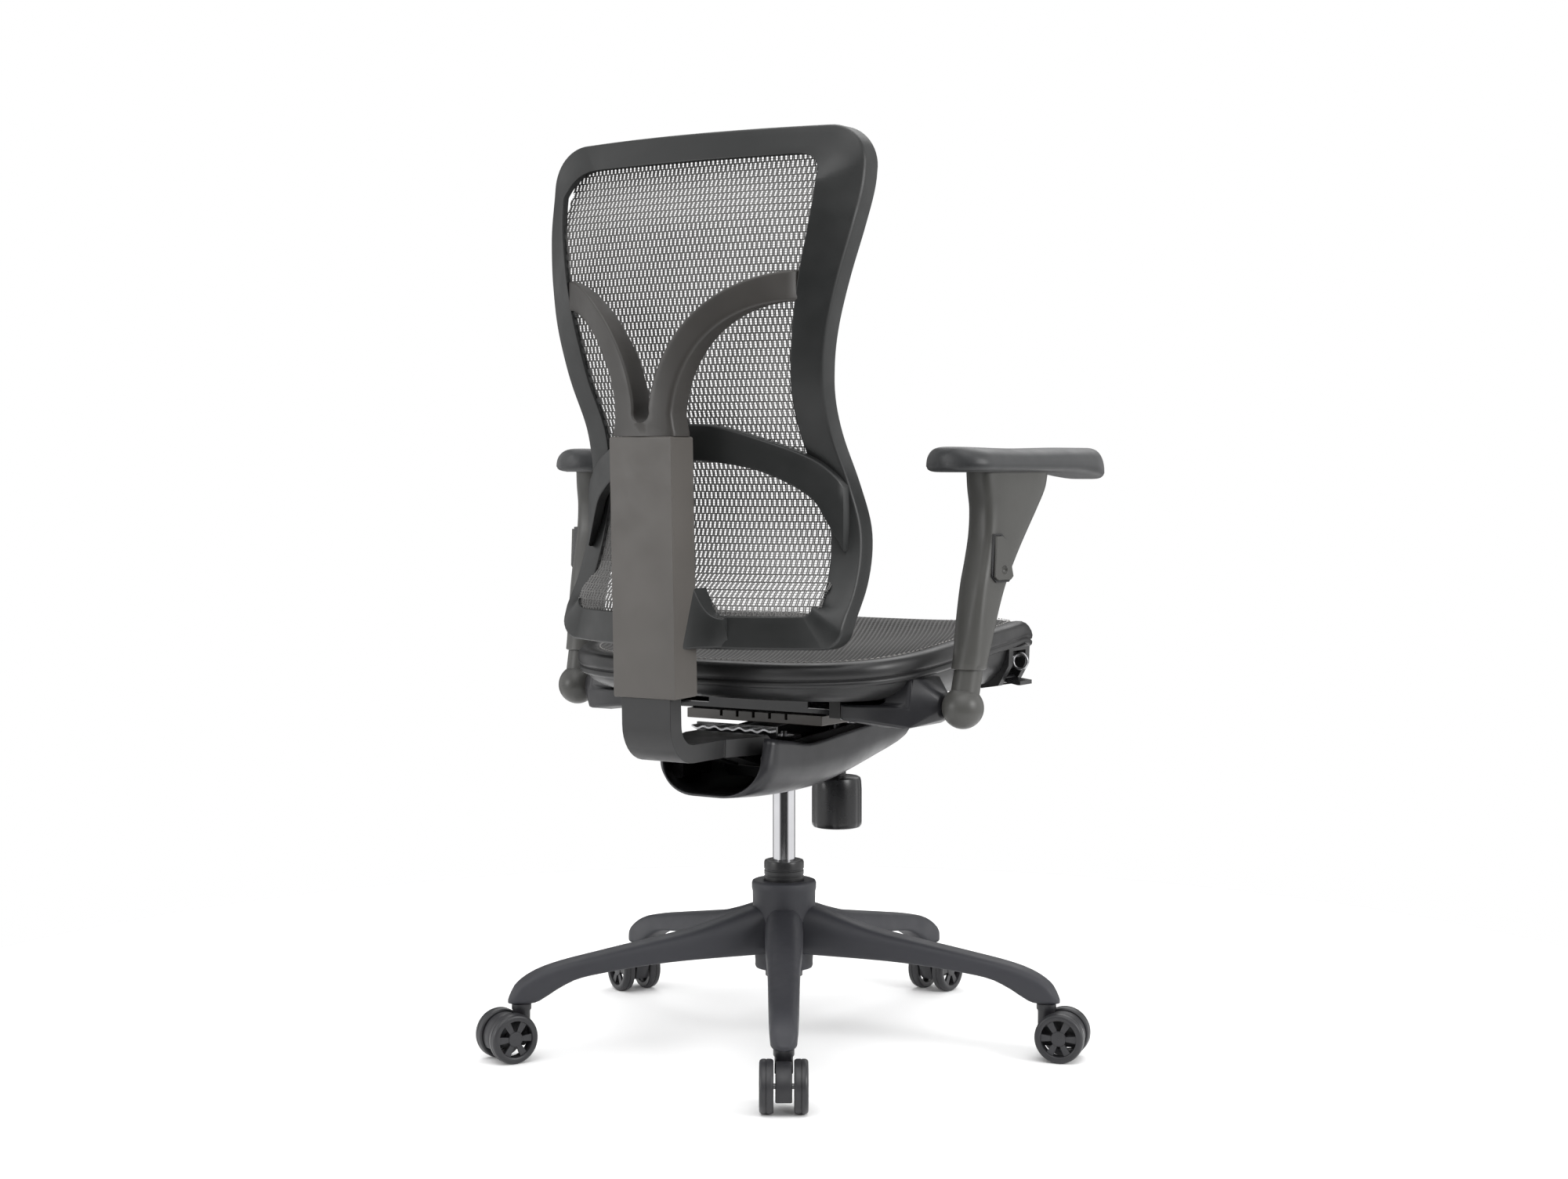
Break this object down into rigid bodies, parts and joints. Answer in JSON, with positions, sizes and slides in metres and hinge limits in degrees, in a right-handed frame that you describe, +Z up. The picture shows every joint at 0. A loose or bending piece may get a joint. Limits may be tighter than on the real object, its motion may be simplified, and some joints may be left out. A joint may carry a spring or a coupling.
{
  "type": "swivel office chair",
  "caption": "Swivel office chair with a woven mesh seat and back, a forked spine, height-adjustable arms and a five-star base on twin-wheel casters.",
  "frame": {"origin": "on the floor under the centre line of the gas lift", "axes": "+Z up, -Y the way the sitter faces, +X the sitter's left"},
  "size_m": [0.7505, 0.7263, 1.118],
  "materials": {
    "base_nylon": "fine textured moulding",
    "column_black": "satin black enamel",
    "bush_black": "smooth",
    "zinc_steel": "zinc plated",
    "chrome": "polished",
    "chassis_steel": "satin black powder coat",
    "cover_black": "smooth satin moulding",
    "knob_black": "semi gloss",
    "plate_steel": "oiled grey-brown steel",
    "tray_black": "glossy",
    "bar_black": "smooth satin",
    "spine_grey": "warm grey satin moulding",
    "frame_black": "matte moulding",
    "back_weave": "open woven mesh",
    "seat_weave": "dense woven mesh",
    "pan_black": "satin moulding",
    "arm_grey": "satin moulding",
    "pad_soft": "soft polyurethane skin",
    "wheel_black": "nylon tread",
    "hood_black": "satin nylon"
  },
  "bodies": {
    "base": {"star_base": "base_nylon", "gas_column": "column_black", "column_bush": "bush_black", "column_clip": "zinc_steel", "thrust_bearing": "zinc_steel"},
    "lift_rod": {"piston_rod": "zinc_steel"},
    "mechanism": {"gas_cylinder": "chrome", "mechanism_chassis": "chassis_steel", "mechanism_cover": "cover_black", "rear_castings": "chassis_steel", "spring_strip": "zinc_steel", "pivot_pins": "zinc_steel", "tilt_spring": "zinc_steel"},
    "gas_valve": {"valve_pin": "zinc_steel"},
    "knob": {"tension_knob": "knob_black", "tension_bolt": "zinc_steel"},
    "seat_support": {"seat_plate": "plate_steel", "slide_tray": "tray_black", "tray_screws": "zinc_steel"},
    "bar": {"back_bar": "bar_black"},
    "backrest": {"height_ratchet": "zinc_steel", "spine_cover": "spine_grey", "y_brace": "spine_grey", "back_frame": "frame_black", "back_mesh": "back_weave"},
    "seat": {"seat_pan": "pan_black", "seat_frame": "pan_black", "seat_mesh": "seat_weave", "seat_runners": "bush_black", "runner_screws": "zinc_steel", "lever_block": "pan_black", "left_arm_bracket": "cover_black", "left_arm_stem": "arm_grey", "right_arm_bracket": "cover_black", "right_arm_stem": "arm_grey"},
    "lift_lever": {"height_lever": "knob_black"},
    "slide_lever": {"depth_lever": "zinc_steel"},
    "left_arm": {"left_arm_sleeve": "arm_grey", "left_pad_plate": "bush_black", "left_arm_pad": "pad_soft"},
    "left_button": {"left_arm_button": "arm_grey"},
    "right_arm": {"right_arm_sleeve": "arm_grey", "right_pad_plate": "bush_black", "right_arm_pad": "pad_soft"},
    "right_button": {"right_arm_button": "arm_grey"},
    "caster_1": {"caster_housing_1": "hood_black", "caster_pins_1": "zinc_steel"},
    "wheels_1": {"caster_wheels_1": "wheel_black"},
    "caster_2": {"caster_housing_2": "hood_black", "caster_pins_2": "zinc_steel"},
    "wheels_2": {"caster_wheels_2": "wheel_black"},
    "caster_3": {"caster_housing_3": "hood_black", "caster_pins_3": "zinc_steel"},
    "wheels_3": {"caster_wheels_3": "wheel_black"},
    "caster_4": {"caster_housing_4": "hood_black", "caster_pins_4": "zinc_steel"},
    "wheels_4": {"caster_wheels_4": "wheel_black"},
    "caster_5": {"caster_housing_5": "hood_black", "caster_pins_5": "zinc_steel"},
    "wheels_5": {"caster_wheels_5": "wheel_black"}
  },
  "joints": [
    {"name": "seat_swivel", "type": "hinge", "parent": "base", "child": "lift_rod", "pos_m": [0, 0, 0.09], "axis": [0, 0, 1], "continuous": true},
    {"name": "seat_height", "type": "slide", "parent": "lift_rod", "child": "mechanism", "axis": [0, 0, 1], "range_m": [-0.08, 0.02]},
    {"name": "valve_press", "type": "slide", "parent": "mechanism", "child": "gas_valve", "axis": [0, 0, 1], "range_m": [-0.004, 0]},
    {"name": "tension_turn", "type": "hinge", "parent": "mechanism", "child": "knob", "pos_m": [0, -0.127, 0.28], "axis": [0, 0, 1], "range_deg": [-360, 360]},
    {"name": "seat_tilt", "type": "hinge", "parent": "mechanism", "child": "seat_support", "pos_m": [0, -0.14, 0.386], "axis": [-1, 0, 0], "range_deg": [0, 5.4]},
    {"name": "recline", "type": "hinge", "parent": "mechanism", "child": "bar", "pos_m": [0, 0.045, 0.368], "axis": [-1, 0, 0], "range_deg": [0, 18], "stiffness_Nm_per_rad": 110, "springref_deg": -22.92},
    {"name": "back_height", "type": "slide", "parent": "bar", "child": "backrest", "axis": [0, 0.0297, 0.9996], "range_m": [0, 0.06]},
    {"name": "seat_depth", "type": "slide", "parent": "seat_support", "child": "seat", "axis": [0, -1, 0], "range_m": [-0.01, 0.035]},
    {"name": "height_lever_lift", "type": "hinge", "parent": "seat", "child": "lift_lever", "pos_m": [-0.226, -0.172, 0.451], "axis": [0, 1, 0], "range_deg": [0, 10], "stiffness_Nm_per_rad": 0.6, "springref_deg": -11.46},
    {"name": "depth_lever_pull", "type": "hinge", "parent": "seat", "child": "slide_lever", "pos_m": [-0.235, -0.172, 0.48], "axis": [0, 1, 0], "range_deg": [0, 14], "stiffness_Nm_per_rad": 0.3, "springref_deg": -11.46},
    {"name": "left_arm_height", "type": "slide", "parent": "seat", "child": "left_arm", "axis": [0.042, -0.2382, 0.9703], "range_m": [-0.01, 0.06]},
    {"name": "left_button_press", "type": "slide", "parent": "left_arm", "child": "left_button", "axis": [-0.9848, -0.1736, 0], "range_m": [0, 0.0025], "stiffness_N_per_m": 900, "springref_m": -0.002},
    {"name": "right_arm_height", "type": "slide", "parent": "seat", "child": "right_arm", "axis": [-0.042, -0.2382, 0.9703], "range_m": [-0.01, 0.06]},
    {"name": "right_button_press", "type": "slide", "parent": "right_arm", "child": "right_button", "axis": [0.9848, -0.1736, 0], "range_m": [0, 0.0025], "stiffness_N_per_m": 900, "springref_m": -0.002},
    {"name": "caster_swivel_1", "type": "hinge", "parent": "base", "child": "caster_1", "pos_m": [-0.18201, 0.28243, 0.07], "axis": [0, 0, 1], "continuous": true},
    {"name": "wheel_roll_1", "type": "hinge", "parent": "caster_1", "child": "wheels_1", "pos_m": [-0.19285, 0.29924, 0.03], "axis": [-0.8406, -0.5417, 0], "continuous": true},
    {"name": "caster_swivel_2", "type": "hinge", "parent": "base", "child": "caster_2", "pos_m": [-0.32485, -0.08583, 0.07], "axis": [0, 0, 1], "continuous": true},
    {"name": "wheel_roll_2", "type": "hinge", "parent": "caster_2", "child": "wheels_2", "pos_m": [-0.34419, -0.09094, 0.03], "axis": [0.2554, -0.9668, 0], "continuous": true},
    {"name": "caster_swivel_3", "type": "hinge", "parent": "base", "child": "caster_3", "pos_m": [-0.01876, -0.33548, 0.07], "axis": [0, 0, 1], "continuous": true},
    {"name": "wheel_roll_3", "type": "hinge", "parent": "caster_3", "child": "wheels_3", "pos_m": [-0.01987, -0.35545, 0.03], "axis": [0.9984, -0.0558, 0], "continuous": true},
    {"name": "caster_swivel_4", "type": "hinge", "parent": "base", "child": "caster_4", "pos_m": [0.31326, -0.12151, 0.07], "axis": [0, 0, 1], "continuous": true},
    {"name": "wheel_roll_4", "type": "hinge", "parent": "caster_4", "child": "wheels_4", "pos_m": [0.33105, -0.13065, 0.03], "axis": [0.4571, 0.8894, 0], "continuous": true},
    {"name": "caster_swivel_5", "type": "hinge", "parent": "base", "child": "caster_5", "pos_m": [0.21236, 0.26038, 0.07], "axis": [0, 0, 1], "continuous": true},
    {"name": "wheel_roll_5", "type": "hinge", "parent": "caster_5", "child": "wheels_5", "pos_m": [0.22088, 0.27848, 0.03], "axis": [-0.9048, 0.4258, 0], "continuous": true}
  ],
  "couplings": [
    {"joint": "seat_tilt", "follows": "recline", "ratio": 0.3},
    {"joint": "valve_press", "follows": "height_lever_lift", "m_per_rad": -0.0229}
  ]
}
